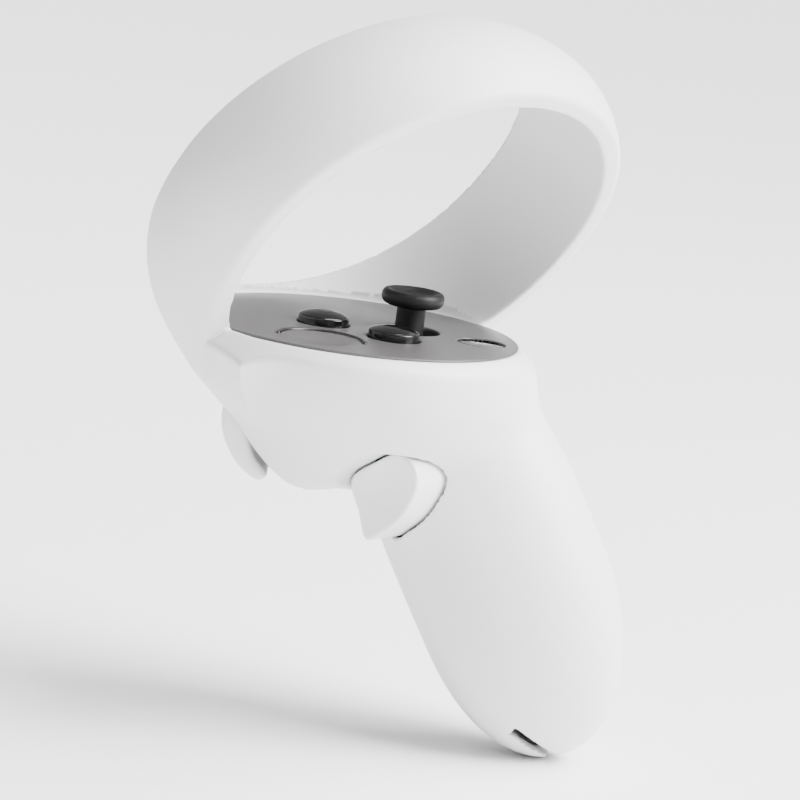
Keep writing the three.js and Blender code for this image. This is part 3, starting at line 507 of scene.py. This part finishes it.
# ---- materials ----------------------------------------------------------------------------------
def plastic(name, color, roughness, grain=0.04, bump=0.02, scale=5200, speckle=0.02, coat=0.0,
            metallic=0.0, spread=0.06, specular=0.5):
    """Moulded plastic or metal: faint cloudy colour, fine grain in roughness and relief."""
    mat = bpy.data.materials.new(name)
    mat.use_nodes = True
    tree = mat.node_tree
    link = tree.links.new
    shader = tree.nodes["Principled BSDF"]
    shader.inputs["Metallic"].default_value = metallic
    shader.inputs["Specular IOR Level"].default_value = specular
    shader.inputs["Coat Weight"].default_value = coat
    shader.inputs["Coat Roughness"].default_value = 0.06
    place = tree.nodes.new("ShaderNodeTexCoord").outputs["Object"]

    def noise(size, detail):
        node = tree.nodes.new("ShaderNodeTexNoise")
        node.inputs["Scale"].default_value = size
        node.inputs["Detail"].default_value = detail
        link(place, node.inputs["Vector"])
        return node.outputs["Fac"]

    cloud = tree.nodes.new("ShaderNodeMixRGB")
    cloud.blend_type = "MIX"
    cloud.inputs[1].default_value = (*[c * (1 - speckle) for c in color], 1)
    cloud.inputs[2].default_value = (*[min(c * (1 + speckle), 1) for c in color], 1)
    link(noise(90, 3), cloud.inputs[0])
    link(cloud.outputs[0], shader.inputs["Base Color"])
    rough = tree.nodes.new("ShaderNodeMapRange")
    rough.inputs["To Min"].default_value = roughness - spread
    rough.inputs["To Max"].default_value = roughness + spread
    link(noise(scale * 0.4, 4), rough.inputs["Value"])
    link(rough.outputs[0], shader.inputs["Roughness"])
    relief = tree.nodes.new("ShaderNodeBump")
    relief.inputs["Strength"].default_value = bump
    relief.inputs["Distance"].default_value = grain * MM
    link(noise(scale, 2), relief.inputs["Height"])
    link(relief.outputs[0], shader.inputs["Normal"])
    return mat


white = plastic("shell_white", (0.74, 0.74, 0.75), 0.46, grain=0.05, bump=0.35, scale=4200,
                speckle=0.008)
trigger_white = plastic("trigger_white", (0.78, 0.78, 0.79), 0.38, grain=0.03, bump=0.25,
                        speckle=0.008)
grip_white = plastic("grip_white", (0.82, 0.82, 0.83), 0.16, grain=0.02, bump=0.08, speckle=0.006,
                     spread=0.03)
plate_grey = plastic("plate_grey", (0.085, 0.08, 0.083), 0.3, grain=0.03, bump=0.3, scale=6000,
                     specular=0.28)
black_gloss = plastic("button_black", (0.004, 0.004, 0.0045), 0.12, grain=0.01, bump=0.04,
                      spread=0.02, specular=0.4)
black_soft = plastic("stick_black", (0.006, 0.006, 0.0065), 0.5, grain=0.06, bump=0.5, scale=3500,
                     specular=0.22)
home_grey = plastic("home_grey", (0.085, 0.08, 0.083), 0.28, grain=0.02, bump=0.1, spread=0.03,
                    specular=0.28)
# near black for the home button's crescent recess: painted shade
home_recess_painted_shade = plastic("home_recess_painted_shade", (0.006, 0.006, 0.006), 0.5, grain=0.02, bump=0.1, specular=0.15)
mark_white = plastic("mark_white", (0.85, 0.85, 0.86), 0.4)
dark = plastic("dark_plastic", (0.03, 0.03, 0.033), 0.45, bump=0.3)
arc_black = plastic("arc_black", (0.01, 0.009, 0.01), 0.3, bump=0.1)
steel = plastic("steel", (0.6, 0.61, 0.63), 0.3, metallic=1.0, bump=0.15, scale=3000)
brass = plastic("brass", (0.72, 0.55, 0.27), 0.32, metallic=1.0, bump=0.15, scale=3000)
board = plastic("board_green", (0.03, 0.12, 0.06), 0.4, speckle=0.12, bump=0.2)
wrap = plastic("cell_wrap", (0.06, 0.19, 0.32), 0.3, speckle=0.05, bump=0.1, coat=0.3)
amber = plastic("flex_amber", (0.42, 0.2, 0.04), 0.35, speckle=0.08, bump=0.1)
lens = plastic("led_clear", (0.7, 0.74, 0.78), 0.15, bump=0.05, coat=0.5)

NODE_LOOKS = {
    steel: ["dome_switch_a", "dome_switch_b", "dome_switch_home", "stick_gimbal", "board_screw_1",
            "board_screw_2", "board_screw_3", "trigger_pin", "trigger_spring", "grip_pin", "grip_spring",
            "contact_spring", "haptic_motor", "strap_bar"],
    brass: ["contact_plus", "antenna_strip"],
    board: ["button_board", "main_board"],
    dark: ["stick_base", "stick_click_cradle", "trigger_bracket", "battery_tray"],
    wrap: ["battery_cell"],
    amber: ["led_flex"],
    lens: [f"tracking_led_{i}" for i in range(1, 8)],
}
for look, names in NODE_LOOKS.items():
    for node in names:
        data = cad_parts[node].data
        data.materials.clear()
        data.materials.append(look)

# ---- the outer pieces -----------------------------------------------------------------------------
fine = 0.75
field_object("body_skin", shell_field, (-48, -63, -80), (46, 47, 68), fine, white, BODY, "shell_white",
             "ring_shell", "handle_shell", "ring_inner_cover")
field_object("door_skin", door_field, (2, -62, -76), (20, -12, -20), 0.6, white,
             "door_body", "shell_white", "battery_door")
field_object("plate", plate_field, (-33, -33, -3), (33, 33, 1.5), 0.42, plate_grey, BODY, "plate_grey",
             "face_plate")
field_object("trigger_blade", trigger_field, (-10, 9, -33), (10, 25, -5), 0.5, trigger_white,
             "trigger_body", "trigger_white", "trigger")
field_object("grip_cap", grip_field, (-26, -26, -41), (0, 2, -16), 0.45, grip_white,
             "grip_body", "grip_white", "grip_button")

# the buttons' domes stand 0.4 mm higher than the CAD's
BUTTON = rounded([(0, -4.6), (1.2, -4.6), (1.2, -3), (5.2, -3), (5.2, -2.4), (BUTTON_R, -2.4),
                  (BUTTON_R, 1.3), (4.5, 1.55), (3.9, 1.82), (3.0, 2.12), (1.6, 2.4), (0, 2.5)], 0.22)
lathe("button_cap_a", BUTTON, BUTTON_A, black_gloss, "button_a_body", "button_black", "button_a")
lathe("button_cap_b", BUTTON, BUTTON_B, black_gloss, "button_b_body", "button_black", "button_b")
home = field_object("home_cap", home_field, (HOME[0] - 5, HOME[1] - 5, -4.9),
                    (HOME[0] + 5, HOME[1] + 5, 0.4), 0.16, home_grey, "home_body", "home_grey",
                    "home_button")
# painted shade: the crescent recess's floor and walls get the near-black second material
home.data.materials.append(home_recess_painted_shade)
for face in home.data.polygons:
    centre = face.center / MM
    if centre.z < -0.1 and home_lune(centre.x, centre.y) < 0.12:
        face.material_index = 1
SKIRT_R, SKIRT_Z = 4.7, -7
SHAFT = [(0, -9.5), (2.5, -9.5)]
SHAFT += [(SKIRT_R * math.cos(math.radians(a)), SKIRT_Z + SKIRT_R * math.sin(math.radians(a)))
          for a in range(-5, 50, 5)]
SHAFT += [(2.95, -3.2), (2.8, -2.4), (2.75, 4.2), (0, 4.2)]
lathe("stick_post", SHAFT, STICK, black_soft, "stick_body", "stick_black", "stick_shaft")
CAP = rounded([(0, 4.45), (2.9, 4.5), (4.9, 4.62), (5.7, 5.1), (6.05, 6.0), (5.95, 6.9), (5.5, 7.5),
               (4.95, 7.6), (4.3, 7.35), (3.4, 6.85), (2, 6.6), (0, 6.5)], 0.6)
lathe("stick_top", CAP, STICK, black_soft, "stick_body", "stick_black", "stick_cap")
# the thumb rest's arc stands a little proud of the plate
ARC_R, ARC_Z = 0.42, -0.05
turn = np.linspace(-math.pi / 2, math.pi / 2, 40)
arc = [(REST[0] + REST_R * math.cos(a), REST[1] + REST_R * math.sin(a), ARC_Z) for a in turn]
tube("rest_arc", arc, ARC_R, arc_black, BODY, "dark_plastic", "thumb_rest_arc")
# three short bars beside the home button's crescent
MARK_R, MARK_Z, MARK_PITCH = 0.1, -0.08, 1.3
for i, step in enumerate((1, 0, -1)):
    bar = [(HOME[0] - 0.7 + 0.45 * t, HOME[1] + MARK_PITCH * step + 0.75 * t, MARK_Z)
           for t in np.linspace(-1, 1, 6)]
    tube(f"home_mark_{i + 1}", bar, MARK_R, mark_white, "home_body", "home_grey")

# ---- stage, lights and camera -----------------------------------------------------------------------
FLOOR_HALF, FLOOR_DROP = 6.0, 0.0002
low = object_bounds()[0]
floor_mesh = bpy.data.meshes.new("floor")
floor_mesh.from_pydata([(-FLOOR_HALF, -FLOOR_HALF, 0), (FLOOR_HALF, -FLOOR_HALF, 0),
                        (FLOOR_HALF, FLOOR_HALF, 0), (-FLOOR_HALF, FLOOR_HALF, 0)], [], [(0, 1, 2, 3)])
floor = bpy.data.objects.new("floor", floor_mesh)
floor.location.z = low.z - FLOOR_DROP
bpy.context.scene.collection.objects.link(floor)
floor_mesh.materials.append(plastic("floor_pale", (0.93, 0.93, 0.93), 0.8, speckle=0.002, bump=0.05,
                                    scale=300))

world = bpy.data.worlds.new("studio")
bpy.context.scene.world = world
world.use_nodes = True
world.node_tree.nodes["Background"].inputs[0].default_value = (1, 1, 1, 1)
world.node_tree.nodes["Background"].inputs[1].default_value = 0.55


def area(name, place, target, width, height, power):
    data = bpy.data.lights.new(name, "AREA")
    data.shape = "RECTANGLE"
    data.size, data.size_y = width, height
    data.energy = power
    lamp = bpy.data.objects.new(name, data)
    lamp.location = place
    lamp.rotation_mode = "QUATERNION"
    lamp.rotation_quaternion = (Vector(target) - Vector(place)).to_track_quat("-Z", "Y")
    bpy.context.scene.collection.objects.link(lamp)


def sun(name, direction, strength, angle):
    data = bpy.data.lights.new(name, "SUN")
    data.energy = strength
    data.angle = math.radians(angle)
    lamp = bpy.data.objects.new(name, data)
    lamp.rotation_mode = "QUATERNION"
    lamp.rotation_quaternion = (-Vector(direction)).to_track_quat("-Z", "Y")
    bpy.context.scene.collection.objects.link(lamp)


area("key", (-0.2, -0.85, 0.55), (0, 0, 0), 0.6, 0.6, 32.0)
sun("top", (0.0, -0.55, 0.95), 8.5, 55)

# the camera, DISTANCE off on the left: what it sees at that distance is VIEW_WIDTH wide, and it
# aims AIM_RIGHT and AIM_DOWN beside the plate's centre
ELEVATION, ROLL, DISTANCE = math.radians(9.4), math.radians(7.44), 650.0
VIEW_WIDTH, AIM_RIGHT, AIM_DOWN = 150.94, 8.47, 14.17
SENSOR = 36
z_axis = Vector((math.sin(ROLL) * math.cos(ELEVATION), math.cos(ROLL) * math.cos(ELEVATION),
                 math.sin(ELEVATION)))
y_axis = Vector((-math.cos(ROLL), math.sin(ROLL), 0))
x_axis = y_axis.cross(z_axis)
right, up, back = (Vector((x_axis[i], y_axis[i], z_axis[i])) for i in range(3))
forward = (-back * DISTANCE + right * AIM_RIGHT - up * AIM_DOWN).normalized()
new_back = -forward
new_up = (up - new_back * up.dot(new_back)).normalized()
new_right = new_up.cross(new_back)
camera = bpy.data.cameras.new("camera")
camera.sensor_width = SENSOR
camera.lens = SENSOR * DISTANCE / VIEW_WIDTH
camera.clip_start, camera.clip_end = 0.01, 50
eye = bpy.data.objects.new("camera", camera)
turned = Matrix((new_right, new_up, new_back)).transposed().to_4x4()
eye.matrix_world = Matrix.Translation(back * DISTANCE * MM) @ turned
bpy.context.scene.collection.objects.link(eye)
bpy.context.scene.camera = eye
